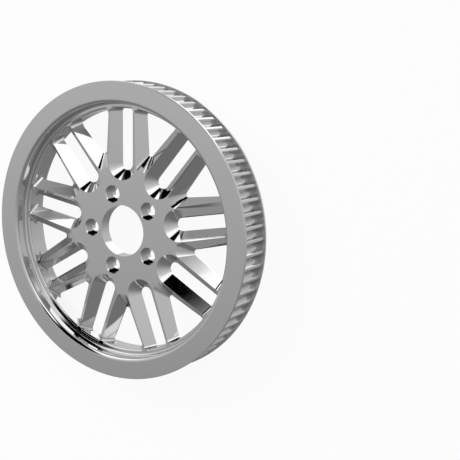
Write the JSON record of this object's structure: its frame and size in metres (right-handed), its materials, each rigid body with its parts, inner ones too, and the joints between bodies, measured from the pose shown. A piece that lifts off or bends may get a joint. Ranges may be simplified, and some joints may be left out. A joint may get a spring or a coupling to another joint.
{
  "type": "belt pulley",
  "caption": "Wide toothed drive belt pulley with lipped rim, dished web of paired ridged spokes, counterbored bolt holes and a plain centre bore.",
  "frame": {"origin": "centre of the back face of the rim, on the pulley axis", "axes": "+Z along the axis towards the front, +Y towards the slot that stands upright in the picture, +X to its right"},
  "size_m": [0.3208, 0.3208, 0.0445],
  "materials": {
    "chrome": "polished bright plating on a machined aluminium body"
  },
  "bodies": {
    "root": {"belt_pulley": "chrome"}
  },
  "joints": []
}
